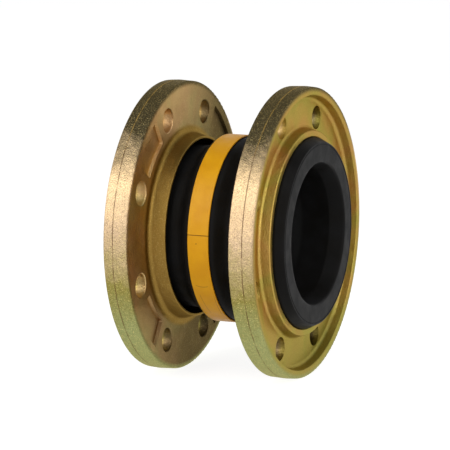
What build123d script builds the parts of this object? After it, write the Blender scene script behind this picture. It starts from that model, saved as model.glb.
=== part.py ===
"""Rubber expansion joint, DN 100, with two loose flanges drilled to PN 16.

A moulded rubber bellows with one arch ends in a thick bead at each side. Each bead
sits in the turned seat of a loose steel flange, which can turn on it. A coloured
band is bonded round the crest of the arch.

The pipe axis is X, Z is up, and the origin is the middle of the joint.
"""

import os
from math import hypot, radians, tan

from build123d import *

# Driving dimensions, in millimetres
overall_length = 136.0  # between the two rubber sealing faces

# Flange: rim, web and bolt holes
flange_diameter = 220.0  # at the parting line, where the rim is widest
rim_width = 19.0
face_setback = 8.6  # from the sealing face back to the rim's outer face
parting_offset = 11.0  # from the rim's inner face to the parting line
rim_draft = 0.5  # the rim's fall in radius from the parting line to its edges
web_thickness = 11.2
bolt_circle = 180.0
bolt_count = 8
bolt_hole = 18.0
hole_chamfer = 0.6

# Flange: lip on the outer side, round the recessed web
lip_width = 6.0
lip_draft = 1.4
recess_fillet = 3.0
edge_round = 1.8

# Flange: collar round the bead, and hub on the inner side
collar_stand = 0.8  # the collar's end beyond the rim's outer face
collar_wall = 4.9
collar_draft = 1.8
collar_fillet = 2.5
hub_length = 13.0
hub_wall = 1.9
hub_draft = 2.6
hub_fillet = 4.0
hub_bore = 133.0

# Flange: shallow pockets between the bolt holes on the inner face
pocket_count = 4
pocket_inner = 80.0
pocket_outer = 102.0
pocket_half_angle = 12.0
pocket_depth = 2.4
pocket_draft = 14.0
pocket_round = 1.5

# Bellows
bead_diameter = 144.0
bead_flat = 13.4  # length of the bead's full diameter
bead_back = 6.0  # length of the slope from the neck up to the bead
bead_taper = 3.2  # the bead's fall in radius towards the sealing face
bead_nose = 6.2  # the length of that taper
neck_diameter = 123.0
crest_diameter = 139.4
crest_half_width = 11.6
shoulder_run = 6.2  # length of the slope from the crest down to the neck
shoulder_round = 6.0
bore_diameter = 99.6
mouth_diameter = 107.6
mouth_depth = 11.0
crest_wall = 9.7
groove_inset = 1.6  # from the bead's face edge to the groove in the sealing face
groove_radius = 0.55

# Band
band_width = 16.7
band_thickness = 1.0

# Clearances
seat_gap = 0.3  # the bead in its seat
band_gap = 0.3  # the band on the crest

# Places along the pipe axis, on the right-hand side
face_x = overall_length / 2
rim_outer_x = face_x - face_setback
rim_inner_x = rim_outer_x - rim_width
parting_x = rim_inner_x + parting_offset
web_x = rim_inner_x + web_thickness
collar_x = rim_outer_x + collar_stand
hub_x = rim_inner_x - hub_length

# Radii
flange_r = flange_diameter / 2
rim_edge_r = flange_r - rim_draft
lip_r = rim_edge_r - lip_width
bead_r = bead_diameter / 2
seat_r = bead_r + seat_gap
collar_r = seat_r + collar_wall
hub_bore_r = hub_bore / 2
hub_r = hub_bore_r + hub_wall
neck_r = neck_diameter / 2
crest_r = crest_diameter / 2
bore_r = bore_diameter / 2
mouth_r = mouth_diameter / 2
face_edge_r = bead_r - bead_taper

# The bead along the pipe axis
bead_nose_x = face_x - bead_nose - seat_gap
bead_shoulder_x = bead_nose_x - bead_flat
bead_foot_x = bead_shoulder_x - bead_back


def seat_slope_x(radius):
    """Where the seat's slope, a gap away from the bead's back, has this radius."""
    rise = bead_r - neck_r
    gap_along_x = seat_gap * hypot(rise, bead_back) / rise
    return bead_shoulder_x - gap_along_x - (bead_r - radius) * bead_back / rise


# Each corner of the flange's section: place along X, radius, rounding
flange_corners = [
    (rim_inner_x, rim_edge_r, 1.2),
    (parting_x, flange_r, 0),
    (rim_outer_x, rim_edge_r, edge_round),
    (rim_outer_x, lip_r, edge_round / 2),
    (web_x, lip_r - lip_draft, recess_fillet),
    (web_x, collar_r + collar_draft, collar_fillet),
    (collar_x, collar_r, 1.0),
    (collar_x, seat_r, 0.8),
    (seat_slope_x(seat_r), seat_r, 3.0),
    (seat_slope_x(hub_bore_r), hub_bore_r, 2.0),
    (hub_x, hub_bore_r, 0.6),
    (hub_x, hub_r, 0.9),
    (rim_inner_x, hub_r + hub_draft, hub_fillet),
]

with BuildPart() as right_flange:
    with BuildSketch(Plane.XY):
        with BuildLine():
            points = [(x, r) for x, r, rounding in flange_corners]
            roundings = [rounding for x, r, rounding in flange_corners]
            FilletPolyline(points, radius=roundings, close=True)
        make_face()
    revolve(axis=Axis.X)

    inner_face = Plane((rim_inner_x, 0, 0), x_dir=(0, 1, 0), z_dir=(-1, 0, 0))
    with Locations(inner_face):
        with PolarLocations(bolt_circle / 2, bolt_count, start_angle=180 / bolt_count):
            CounterSinkHole(bolt_hole / 2, bolt_hole / 2 + hole_chamfer, counter_sink_angle=90)

    wedge_side = flange_r * tan(radians(pocket_half_angle))
    with BuildSketch(Plane.YZ.offset(rim_inner_x)) as pockets:
        with PolarLocations(0, pocket_count, start_angle=180 / pocket_count):
            Polygon((0, 0), (flange_r, -wedge_side), (flange_r, wedge_side), align=None)
        Circle(pocket_outer, mode=Mode.INTERSECT)
        Circle(pocket_inner, mode=Mode.SUBTRACT)
        fillet(pockets.vertices(), pocket_round)
    extrude(amount=pocket_depth, taper=pocket_draft, mode=Mode.SUBTRACT)

with BuildPart() as left_flange:
    add(mirror(right_flange.part, about=Plane.YZ))

# Each corner of the right half of the bellows' section, from the crest outside
# round the bead to the hollow of the arch inside
bellows_corners = [
    (0, crest_r, 0),
    (crest_half_width, crest_r, shoulder_round),
    (crest_half_width + shoulder_run, neck_r, shoulder_round),
    (bead_foot_x, neck_r, 3.0),
    (bead_shoulder_x, bead_r, 4.0),
    (bead_nose_x, bead_r, 1.5),
    (face_x, face_edge_r, 1.0),
    (face_x, mouth_r, 0.8),
    (face_x - mouth_depth, bore_r, 3.0),
    (crest_half_width + 3 * shoulder_run, bore_r, 10.0),
    (crest_half_width, crest_r - crest_wall, 5.0),
    (0, crest_r - crest_wall, 0),
]

with BuildPart() as rubber_bellows:
    with BuildSketch(Plane.XY):
        with BuildLine():
            points = [(x, r) for x, r, rounding in bellows_corners]
            roundings = [rounding for x, r, rounding in bellows_corners]
            FilletPolyline(points, radius=roundings, close=True)
        make_face()
        with Locations((face_x, face_edge_r - groove_inset)):
            Circle(groove_radius, mode=Mode.SUBTRACT)
        mirror(about=Plane.YZ)
    revolve(axis=Axis.X)

band_r = crest_r + band_gap

with BuildPart() as yellow_band:
    with BuildSketch(Plane.XY):
        with Locations((0, band_r + band_thickness / 2)):
            RectangleRounded(band_width, band_thickness, band_thickness / 4)
    revolve(axis=Axis.X)

right_flange.part.label = "right_flange"
left_flange.part.label = "left_flange"
rubber_bellows.part.label = "rubber_bellows"
yellow_band.part.label = "yellow_band"

os.makedirs("parts", exist_ok=True)
export_step(left_flange.part, "parts/left_flange.step")
export_step(right_flange.part, "parts/right_flange.step")
export_step(rubber_bellows.part, "parts/rubber_bellows.step")
export_step(yellow_band.part, "parts/yellow_band.step")
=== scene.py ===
"""Looks of a DN 100 rubber expansion joint, on a white floor.

The two steel flanges are the CAD meshes with a rough forged, chromated finish. The
rubber bellows and the band on its crest are meshes of their own.

The pipe axis is X, Z is up, and the origin is the middle of the joint. Metres.
"""

from math import atan2, cos, pi, radians, sin, tan

import bpy
from mathutils import Matrix, Vector


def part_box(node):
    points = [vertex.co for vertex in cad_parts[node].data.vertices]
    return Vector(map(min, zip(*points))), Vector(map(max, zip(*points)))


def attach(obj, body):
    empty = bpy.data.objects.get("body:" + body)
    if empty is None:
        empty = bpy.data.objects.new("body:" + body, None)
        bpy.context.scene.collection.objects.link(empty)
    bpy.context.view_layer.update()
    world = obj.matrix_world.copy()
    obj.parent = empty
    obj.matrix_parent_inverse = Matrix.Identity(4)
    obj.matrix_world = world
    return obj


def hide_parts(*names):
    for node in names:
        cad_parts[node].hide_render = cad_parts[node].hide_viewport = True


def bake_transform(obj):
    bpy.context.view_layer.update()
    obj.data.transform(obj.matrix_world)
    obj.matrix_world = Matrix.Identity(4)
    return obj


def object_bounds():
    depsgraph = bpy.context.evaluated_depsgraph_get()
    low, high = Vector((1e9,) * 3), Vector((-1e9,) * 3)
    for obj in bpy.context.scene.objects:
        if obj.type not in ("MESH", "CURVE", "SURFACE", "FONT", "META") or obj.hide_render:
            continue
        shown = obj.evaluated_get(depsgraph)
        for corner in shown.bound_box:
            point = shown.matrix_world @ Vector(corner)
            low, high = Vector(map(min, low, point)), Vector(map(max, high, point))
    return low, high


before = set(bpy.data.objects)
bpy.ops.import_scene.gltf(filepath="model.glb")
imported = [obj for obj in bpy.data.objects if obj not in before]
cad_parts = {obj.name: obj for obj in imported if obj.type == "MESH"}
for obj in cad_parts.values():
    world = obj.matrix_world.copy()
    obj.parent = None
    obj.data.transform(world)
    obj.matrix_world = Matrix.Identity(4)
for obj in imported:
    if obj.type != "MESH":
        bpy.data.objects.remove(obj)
cad_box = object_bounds()

MM = 0.001

# Camera
CAMERA_AZIMUTH = radians(22.944)
CAMERA_ELEVATION = radians(8.446)
CAMERA_ROLL = radians(0.342)
CAMERA_DISTANCE = 2.7296
CAMERA_TARGET = Vector((-0.00707, -0.00263, 0.00224))
CAMERA_LENS = 288.8

# Bellows, from its axis outwards, with each corner's rounding
BORE_R = 49.8 * MM
MOUTH_R = 53.8 * MM
MOUTH_DEPTH = 11 * MM
NECK_R = 61.5 * MM
CREST_R = 69.7 * MM
CREST_HALF_WIDTH = 10.6 * MM
SHOULDER_RUN = 8.2 * MM
CREST_WALL = 9.7 * MM
BEAD_TAPER = 3.2 * MM
BEAD_NOSE = 6.5 * MM
BEAD_FLAT = 13.4 * MM
BEAD_BACK = 6 * MM
FACE_GROOVE_INSET = 1.6 * MM
FACE_GROOVE_WIDTH = 1.1 * MM

# Band
BAND_THICKNESS = 1 * MM
BAND_CORNER = 0.3 * MM
SEAM_PLACE = 176.8  # degrees, from +Y towards +Z
SEAM_WIDTH = 0.7 * MM
SEAM_DEPTH = 0.35 * MM
NICK_PLACE = -149.5  # degrees, like every place round the band
NICK_BOW = 42  # how far its ends curve, over the square of x in metres
NICK_START = -5.3 * MM
NICK_END = 4.4 * MM
NICK_WIDTH = 0.5 * MM
SPECK_PLACE = -178.1
SPECK_X = -1.3 * MM
SPECK_R = 0.7 * MM
SPECK_CORE_R = 0.3 * MM
RULES = ((-4.1 * MM, 0.075), (7.2 * MM, -0.04))  # each line's place along X, and its lean
RULES_START = -143
RULES_LENGTH = 24 * MM
RULE_WIDTH = 0.35 * MM

# Flange
COLLAR_STAND = 0.8 * MM
PARTING_INSET = 8 * MM
HUB_FOOT_R = 75 * MM
RIM_FILM_START = 5 * MM  # how far inside the rim its own film begins
RIM_FILM_FULL = 1 * MM

# Light, as the world's brightness round the sides and overhead
WORLD_SIDES = (0.55, 0.54, 0.52)
WORLD_TOP = (0.05, 0.07, 0.1)

WORLD_FADE = (0.48, 0.95)  # the heights between which it goes from one to the other

FLOOR_SIZE = 6  # half of its width

SEGMENTS = 288
ARC_STEPS = 6
LONGEST_RUN = 2.5 * MM


def linear(red, painted_green_below, blue):
    """A colour from 0 to 255 a channel, as it shows on screen, as a linear one."""
    def channel(value):
        value /= 255
        return value / 12.92 if value <= 0.04045 else ((value + 0.055) / 1.055) ** 2.4
    return (channel(red), channel(painted_green_below), channel(blue), 1)


# Shapes


def rounded(corners):
    """The points of a line whose corners, given as (x, r, rounding), are arcs."""
    points = []
    for i, (x, r, rounding) in enumerate(corners):
        here = Vector((x, r))
        if rounding == 0 or i in (0, len(corners) - 1):
            points.append(here)
            continue
        back = (Vector(corners[i - 1][:2]) - here).normalized()
        on = (Vector(corners[i + 1][:2]) - here).normalized()
        half = back.angle(on) / 2
        run = rounding / tan(half)
        centre = here + (back + on).normalized() * rounding / sin(half)
        first, last = here + back * run - centre, here + on * run - centre
        turn = atan2(first.x * last.y - first.y * last.x, first.dot(last))
        for step in range(ARC_STEPS + 1):
            angle = turn * step / ARC_STEPS
            points.append(centre + Vector((
                first.x * cos(angle) - first.y * sin(angle),
                first.x * sin(angle) + first.y * cos(angle),
            )))
    return points


def subdivided(points):
    """The same line, with no run longer than LONGEST_RUN."""
    result = [points[0]]
    for a, b in zip(points, points[1:]):
        count = max(1, int((b - a).length / LONGEST_RUN + 0.999))
        result += [a.lerp(b, step / count) for step in range(1, count + 1)]
    return result


def revolved(name, profile, angles, sink=None):
    """A closed ring swept round X by a closed profile of (x, r) points."""
    vertices, faces = [], []
    rows, columns = len(angles), len(profile)
    for angle in angles:
        for x, r in profile:
            radius = r - (sink(angle, r) if sink else 0)
            vertices.append((x, radius * cos(angle), radius * sin(angle)))
    for i in range(rows):
        for j in range(columns):
            a, b = i * columns, ((i + 1) % rows) * columns
            k = (j + 1) % columns
            faces.append((a + j, a + k, b + k, b + j))
    mesh = bpy.data.meshes.new(name)
    mesh.from_pydata(vertices, [], faces)
    mesh.validate()
    mesh.shade_smooth()
    mesh.update()
    ring = bpy.data.objects.new(name, mesh)
    bpy.context.scene.collection.objects.link(ring)
    return ring


def even_angles(count):
    return [2 * pi * i / count for i in range(count)]


def make_bellows():
    """The rubber, which runs between the feet of its two beads, as one ring."""
    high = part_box("rubber_bellows")[1]
    face_x, bead_r = high.x, high.z
    nose_x = face_x - BEAD_NOSE
    shoulder_x = nose_x - BEAD_FLAT
    edge_r = bead_r - BEAD_TAPER
    groove_r = edge_r - FACE_GROOVE_INSET
    half_groove = FACE_GROOVE_WIDTH / 2
    right_half = [
        (CREST_HALF_WIDTH, CREST_R, 7 * MM),
        (CREST_HALF_WIDTH + SHOULDER_RUN, NECK_R, 7 * MM),
        (shoulder_x - BEAD_BACK, NECK_R, 3 * MM),
        (shoulder_x, bead_r, 4 * MM),
        (nose_x, bead_r, 1.5 * MM),
        (face_x, edge_r, 0.7 * MM),
        (face_x, groove_r + half_groove, 0.15 * MM),
        (face_x - half_groove, groove_r, 0.25 * MM),
        (face_x, groove_r - half_groove, 0.15 * MM),
        (face_x, MOUTH_R, 2 * MM),
        (face_x - MOUTH_DEPTH, BORE_R, 3 * MM),
        (CREST_HALF_WIDTH + 3 * SHOULDER_RUN, BORE_R, 10 * MM),
        (CREST_HALF_WIDTH, CREST_R - CREST_WALL, 5 * MM),
    ]
    crest = (0, CREST_R, 0)
    hollow = (0, CREST_R - CREST_WALL, 0)
    half = subdivided(rounded([crest, *right_half, hollow]))
    other = [Vector((-p.x, p.y)) for p in reversed(half[1:-1])]
    bellows = revolved("bellows_skin", half + other, even_angles(SEGMENTS))
    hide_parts("rubber_bellows")
    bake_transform(bellows)
    return bellows


def make_band():
    """The band on the crest, with a groove across it at its seam."""
    low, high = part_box("yellow_band")
    outer_r = high.z
    inner_r = outer_r - BAND_THICKNESS
    corners = [
        (0, inner_r, 0),
        (low.x, inner_r, BAND_CORNER),
        (low.x, outer_r, BAND_CORNER),
        (high.x, outer_r, BAND_CORNER),
        (high.x, inner_r, BAND_CORNER),
        (0, inner_r, 0),
    ]
    profile = subdivided(rounded(corners))[:-1]
    seam_angle = radians(SEAM_PLACE)

    def seam(angle, r):
        if r <= inner_r + BAND_THICKNESS / 2:
            return 0
        away = (angle - seam_angle) * outer_r / (SEAM_WIDTH / 2)
        return SEAM_DEPTH * max(0, 1 - away * away)

    half_seam = SEAM_WIDTH / 2 / outer_r
    fine = [seam_angle + half_seam * step / 4 for step in range(-5, 6)]
    coarse = [a for a in even_angles(SEGMENTS) if abs(a - seam_angle) > 1.5 * half_seam]
    band = revolved("crest_band", profile, sorted(coarse + fine), sink=seam)
    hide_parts("yellow_band")
    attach(band, "band")
    return band


# Materials


class Nodes:
    """A new material's node tree, with short ways to add and join nodes."""

    def __init__(self, name):
        self.material = bpy.data.materials.new(name)
        self.material.use_nodes = True
        self.tree = self.material.node_tree
        self.tree.nodes.clear()
        self.shader = self.add("ShaderNodeBsdfPrincipled")
        out = self.add("ShaderNodeOutputMaterial")
        self.join(self.shader.outputs["BSDF"], out.inputs["Surface"])
        self.place = self.add("ShaderNodeTexCoord").outputs["Object"]

    def add(self, kind, **settings):
        node = self.tree.nodes.new(kind)
        for key, value in settings.items():
            setattr(node, key, value)
        return node

    def join(self, source, target):
        self.tree.links.new(source, target)

    def math(self, operation, a, b=None, c=None, clamp=False):
        node = self.add("ShaderNodeMath", operation=operation, use_clamp=clamp)
        for socket, value in zip(node.inputs, (a, b, c)):
            if value is None:
                continue
            if isinstance(value, (int, float)):
                socket.default_value = value
            else:
                self.join(value, socket)
        return node.outputs[0]

    def noise(self, size, detail=2, roughness=0.5, distortion=0):
        """Noise from 0 to 1 whose blotches are about this size."""
        node = self.add("ShaderNodeTexNoise")
        node.inputs["Scale"].default_value = 1 / size
        node.inputs["Detail"].default_value = detail
        node.inputs["Roughness"].default_value = roughness
        node.inputs["Distortion"].default_value = distortion
        self.join(self.place, node.inputs["Vector"])
        return node.outputs["Fac"]

    def ramp(self, value, stops):
        """A colour or grey for each value; stops are (position, colour)."""
        node = self.add("ShaderNodeValToRGB")
        elements = node.color_ramp.elements
        for i, (position, colour) in enumerate(stops):
            element = elements[i] if i < 2 else elements.new(position)
            element.position = position
            element.color = colour
        self.join(value, node.inputs["Fac"])
        return node.outputs["Color"]

    def mix(self, factor, a, b, blend="MIX"):
        node = self.add("ShaderNodeMix", data_type="RGBA", blend_type=blend)
        sockets = node.inputs[0], node.inputs[6], node.inputs[7]
        for socket, value in zip(sockets, (factor, a, b)):
            if isinstance(value, (int, float, tuple)):
                socket.default_value = value
            else:
                self.join(value, socket)
        return node.outputs[2]

    def between(self, value, low, high, out_low=0.0, out_high=1.0):
        """value taken from low..high to out_low..out_high, with soft ends."""
        node = self.add("ShaderNodeMapRange", interpolation_type="SMOOTHSTEP")
        for socket, number in zip(node.inputs[1:5], (low, high, out_low, out_high)):
            socket.default_value = number
        self.join(value, node.inputs[0])
        return node.outputs[0]

    def axes(self):
        """X, the radius, the angle from +Y towards +Z, Y and Z."""
        split = self.add("ShaderNodeSeparateXYZ")
        self.join(self.place, split.inputs[0])
        x, y, z = split.outputs
        squares = self.math("MULTIPLY", y, y), self.math("MULTIPLY", z, z)
        radius = self.math("SQRT", self.math("ADD", *squares))
        return x, radius, self.math("ARCTAN2", z, y), y, z

    def bump(self, height, distance, under=None):
        """Normals that follow this height, over those of the bump under it."""
        node = self.add("ShaderNodeBump")
        node.inputs["Distance"].default_value = distance
        self.join(height, node.inputs["Height"])
        if under is not None:
            self.join(under, node.inputs["Normal"])
        return node.outputs["Normal"]

    def use(self, socket, value):
        self.join(value, self.shader.inputs[socket])


def chromated_steel():
    """Forged steel under a yellow chromate film that shifts from rose to green, partly
    painted light and shade by height.
    """
    m = Nodes("chromated_steel")
    x, radius, _, depth, height = m.axes()
    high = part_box("right_flange")[1]
    rim_r = high.z
    parting_x = high.x - COLLAR_STAND - PARTING_INSET
    on_rim = m.between(radius, rim_r - RIM_FILM_START, rim_r - RIM_FILM_FULL)

    # The film on the faces is gold, with brown and green clouds; the inner face is
    # paler, with painted shade that darkens it towards the back and the bottom
    clouds = m.noise(30 * MM, detail=3, distortion=0.6)
    outer_face = m.ramp(clouds, [
        (0.30, linear(162, 154, 72)),
        (0.50, linear(178, 150, 76)),
        (0.70, linear(184, 142, 80)),
    ])
    inner_face = m.ramp(clouds, [
        (0.30, linear(192, 176, 120)),
        (0.50, linear(204, 174, 122)),
        (0.70, linear(208, 170, 124)),
    ])
    # Painted shade: the inner face grows darker towards the back and the bottom, where the
    # other flange shades it
    across = m.math("MULTIPLY_ADD", height, -0.4, depth)
    painted_shade = m.between(across, -0.9 * rim_r, 0.5 * rim_r, 0, 0.92)
    inner_face = m.mix(painted_shade, inner_face, linear(48, 44, 29))
    on_hub = m.between(radius, HUB_FOOT_R + 3 * MM, HUB_FOOT_R - 1 * MM)
    inner_face = m.mix(on_hub, inner_face, linear(140, 112, 54))
    outside = m.between(m.math("ABSOLUTE", x), parting_x - 6 * MM, parting_x - 1 * MM)
    # Painted light: the outer face turns greener towards the bottom, for the light
    # reflected from below
    painted_green_below = m.between(height, -0.3 * rim_r, -rim_r, 0, 0.6)
    outer_face = m.mix(painted_green_below, outer_face, linear(140, 144, 72))
    faces = m.mix(outside, inner_face, outer_face)

    # On the rim, painted light and shade by height: rose and brightest at the middle
    # height where the lamps fall, green below in the light from below, and dark grey above
    # in painted shade
    mottle = m.math("MULTIPLY_ADD", m.noise(5 * MM, detail=2), 0.6, clouds)
    warped = m.math("MULTIPLY_ADD", m.math("SUBTRACT", mottle, 0.8), 38 * MM, height)
    rim_film_and_painted_light = m.ramp(m.between(warped, -rim_r, rim_r), [
        (0.08, linear(154, 160, 106)),
        (0.28, linear(142, 134, 70)),
        (0.55, linear(200, 174, 142)),
        (0.78, linear(240, 210, 166)),
        (0.95, linear(78, 72, 52)),
    ])
    film_and_painted_light = m.mix(on_rim, faces, rim_film_and_painted_light)

    # Speckle of the forged skin, stronger on the rim
    speckle = m.noise(0.85 * MM, detail=3, roughness=0.6)
    share = m.math("MULTIPLY_ADD", on_rim, 0.28, 0.14)
    pits = m.math("MULTIPLY", m.between(speckle, 0.52, 0.66), share)
    film_and_painted_light = m.mix(pits, film_and_painted_light, linear(112, 84, 50))
    flecks = m.math("MULTIPLY", m.between(speckle, 0.44, 0.34), share)
    film_and_painted_light = m.mix(flecks, film_and_painted_light, linear(250, 222, 150))

    # The parting line left by the two halves of the die
    wander = m.math("MULTIPLY", m.math("SUBTRACT", m.noise(20 * MM), 0.5), 0.9 * MM)
    from_line = m.math("SUBTRACT", m.math("ABSOLUTE", x), parting_x)
    off_line = m.math("ABSOLUTE", m.math("ADD", from_line, wander))
    on_line = m.math("MULTIPLY", m.between(off_line, 0.55 * MM, 0.2 * MM), on_rim)
    broken = m.between(m.noise(9 * MM, detail=3), 0.35, 0.55, 0.35, 1)
    on_line = m.math("MULTIPLY", on_line, broken)
    near_top = m.between(height, 0.55 * rim_r, 0.8 * rim_r)
    line_film = m.mix(near_top, linear(96, 66, 40), linear(190, 156, 84))
    film_and_painted_light = m.mix(m.math("MULTIPLY", on_line, 0.7), film_and_painted_light, line_film)
    m.use("Base Color", film_and_painted_light)

    m.shader.inputs["Metallic"].default_value = 1.0
    m.shader.inputs["Specular Tint"].default_value = linear(236, 222, 192)
    patches = m.noise(14 * MM, detail=2)
    rough = m.between(patches, 0.3, 0.7, 0.4, 0.48)
    m.use("Roughness", m.math("MULTIPLY_ADD", on_rim, 0.09, rough))

    # Forged grain, coarser on the rim
    grain = m.noise(1.2 * MM, detail=2, roughness=0.6)
    strength = m.math("MULTIPLY_ADD", on_rim, 0.7, 0.3)
    coarse = m.bump(m.math("MULTIPLY", grain, strength), 0.9 * MM)
    ridge = m.bump(on_line, -0.25 * MM, under=coarse)
    uneven = m.bump(m.noise(11 * MM, detail=1), 0.5 * MM, under=ridge)
    m.use("Normal", uneven)
    return m.material


def black_rubber():
    """Moulded rubber, satin, with a faint grey bloom."""
    m = Nodes("black_rubber")
    bloom = m.noise(18 * MM, detail=3)
    m.use("Base Color", m.ramp(bloom, [
        (0.35, linear(20, 19, 18)),
        (0.70, linear(25, 25, 26)),
    ]))
    m.use("Roughness", m.between(m.noise(9 * MM, detail=3), 0.3, 0.7, 0.38, 0.5))
    m.shader.inputs["Specular IOR Level"].default_value = 0.05
    skin = m.bump(m.noise(0.7 * MM, detail=2), 0.05 * MM)
    m.use("Normal", m.bump(m.noise(7 * MM, detail=2), 0.12 * MM, under=skin))
    return m.material


def band_rubber():
    """Yellow strip, satin, with a dark seam."""
    m = Nodes("band_rubber")
    x, radius, angle, *_ = m.axes()
    tone = m.ramp(m.noise(16 * MM, detail=3), [
        (0.35, linear(210, 148, 2)),
        (0.65, linear(220, 160, 8)),
    ])

    def around(place):
        """How far round the band a point is from this angle in degrees."""
        return m.math("MULTIPLY", m.math("SUBTRACT", angle, radians(place)), radius)

    def line(across, along, start, end, width):
        """1 on a line of this width where along is between start and end, else 0."""
        on = m.between(m.math("ABSOLUTE", across), 0.8 * width, 0.2 * width)
        on = m.math("MULTIPLY", on, m.math("GREATER_THAN", along, start))
        return m.math("MULTIPLY", on, m.math("LESS_THAN", along, end))

    # The butt seam, a curved nick below it, a speck, and two plain ruled lines
    off_seam = m.math("ABSOLUTE", around(SEAM_PLACE))
    seam = m.between(off_seam, 0.75 * SEAM_WIDTH, 0.2 * SEAM_WIDTH)
    colour = m.mix(m.math("MULTIPLY", seam, 0.75), tone, linear(100, 64, 8))
    bow = m.math("MULTIPLY", m.math("MULTIPLY", x, x), NICK_BOW)
    across = m.math("ADD", around(NICK_PLACE), bow)
    nick = line(across, x, NICK_START, NICK_END, NICK_WIDTH)
    colour = m.mix(m.math("MULTIPLY", nick, 0.6), colour, linear(110, 70, 10))
    offsets = around(SPECK_PLACE), m.math("SUBTRACT", x, SPECK_X)
    squares = (m.math("POWER", offset, 2) for offset in offsets)
    speck = m.between(m.math("SQRT", m.math("ADD", *squares)), SPECK_R, SPECK_CORE_R)
    colour = m.mix(m.math("MULTIPLY", speck, 0.7), colour, linear(100, 62, 8))
    for rule_x, lean in RULES:
        along = around(RULES_START)
        across = m.math("MULTIPLY_ADD", along, -lean, m.math("SUBTRACT", x, rule_x))
        rule = line(across, along, 0, RULES_LENGTH, RULE_WIDTH)
        colour = m.mix(m.math("MULTIPLY", rule, 0.55), colour, linear(96, 64, 12))
    m.use("Base Color", colour)
    m.shader.inputs["Specular IOR Level"].default_value = 0.22
    m.use("Roughness", m.between(m.noise(6 * MM, detail=2), 0.3, 0.7, 0.4, 0.5))
    m.use("Normal", m.bump(m.noise(2.5 * MM, detail=2), 0.05 * MM))
    return m.material


def coat(target, material):
    """Gives a piece this material alone."""
    target.data.materials.clear()
    target.data.materials.append(material)


# Floor, light and camera


def make_floor(level):
    """A wide pale floor, white where it is seen, which keeps the joint's shadow."""
    mesh = bpy.data.meshes.new("floor")
    corners = (-1, -1), (1, -1), (1, 1), (-1, 1)
    vertices = [(x * FLOOR_SIZE, y * FLOOR_SIZE, level) for x, y in corners]
    mesh.from_pydata(vertices, [], [(0, 1, 2, 3)])
    floor = bpy.data.objects.new("floor", mesh)
    bpy.context.scene.collection.objects.link(floor)
    m = Nodes("floor_white")
    path = m.add("ShaderNodeLightPath").outputs
    seen = m.math("MAXIMUM", path["Is Camera Ray"], path["Is Glossy Ray"])
    m.use("Base Color", m.mix(seen, (0.85, 0.85, 0.84, 1), (0.35, 0.35, 0.35, 1)))
    m.shader.inputs["Roughness"].default_value = 0.9
    m.shader.inputs["Specular IOR Level"].default_value = 0.0
    m.shader.inputs["Emission Color"].default_value = (1, 1, 1, 1)
    m.use("Emission Strength", m.math("MULTIPLY", seen, 0.88))
    coat(floor, m.material)


def make_world():
    """Soft light from all round, dimmer and bluer overhead, white to the camera."""
    world = bpy.data.worlds.new("studio")
    bpy.context.scene.world = world
    world.use_nodes = True
    tree = world.node_tree
    tree.nodes.clear()

    def add(kind):
        return tree.nodes.new("ShaderNode" + kind)

    def mix(factor, a, b):
        node = add("Mix")
        node.data_type = "RGBA"
        sockets = node.inputs[0], node.inputs[6], node.inputs[7]
        for socket, value in zip(sockets, (factor, a, b)):
            if isinstance(value, tuple):
                socket.default_value = value
            else:
                tree.links.new(value, socket)
        return node.outputs[2]

    def sky(sides, top):
        ramp = add("ValToRGB")
        elements = ramp.color_ramp.elements
        for element, place, colour in zip(elements, WORLD_FADE, (sides, top)):
            element.position = place
            element.color = (*colour, 1)
        tree.links.new(split.outputs["Z"], ramp.inputs["Fac"])
        return ramp.outputs["Color"]

    split = add("SeparateXYZ")
    tree.links.new(add("TexCoord").outputs["Generated"], split.inputs[0])
    path = add("LightPath").outputs
    soft, mirrored = sky(WORLD_SIDES, WORLD_TOP), sky((1, 1, 1), WORLD_TOP)
    colour = mix(path["Is Glossy Ray"], soft, mirrored)
    colour = mix(path["Is Camera Ray"], colour, (1, 1, 1, 1))
    light = add("Background")
    tree.links.new(colour, light.inputs["Color"])
    tree.links.new(light.outputs[0], add("OutputWorld").inputs["Surface"])


def lamp(name, place, width, height, power, colour):
    """A soft lamp that looks at the joint."""
    data = bpy.data.lights.new(name, "AREA")
    data.shape = "RECTANGLE"
    data.size = width
    data.size_y = height
    data.energy = power
    data.color = colour
    light = bpy.data.objects.new(name, data)
    light.location = place
    light.rotation_euler = (-Vector(place)).to_track_quat("-Z", "Y").to_euler()
    bpy.context.scene.collection.objects.link(light)


def make_lamps():
    lamp("key", (-0.85, -1.55, 1.1), 1.4, 2.0, 26, (1, 0.98, 0.95))
    lamp("fill", (1.5, -0.9, 0.5), 1.2, 1.2, 8, (1, 0.97, 0.9))
    lamp("top", (0.75, -0.42, 1.4), 0.6, 0.6, 4, (1, 0.97, 0.9))


def make_camera():
    direction = Vector((
        sin(CAMERA_AZIMUTH) * cos(CAMERA_ELEVATION),
        -cos(CAMERA_AZIMUTH) * cos(CAMERA_ELEVATION),
        sin(CAMERA_ELEVATION),
    ))
    data = bpy.data.cameras.new("camera")
    data.lens = CAMERA_LENS
    data.clip_end = 50
    camera = bpy.data.objects.new("camera", data)
    camera.location = CAMERA_TARGET + CAMERA_DISTANCE * direction
    aim = direction.to_track_quat("Z", "Y").to_matrix()
    camera.rotation_euler = (aim @ Matrix.Rotation(CAMERA_ROLL, 3, "Z")).to_euler()
    bpy.context.scene.collection.objects.link(camera)
    bpy.context.scene.camera = camera


steel = chromated_steel()
for flange in ("left_flange", "right_flange"):
    coat(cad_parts[flange], steel)
coat(make_bellows(), black_rubber())
coat(make_band(), band_rubber())

make_floor(cad_box[0][2])
make_world()
make_lamps()
make_camera()

bpy.context.scene.view_settings.view_transform = "Standard"
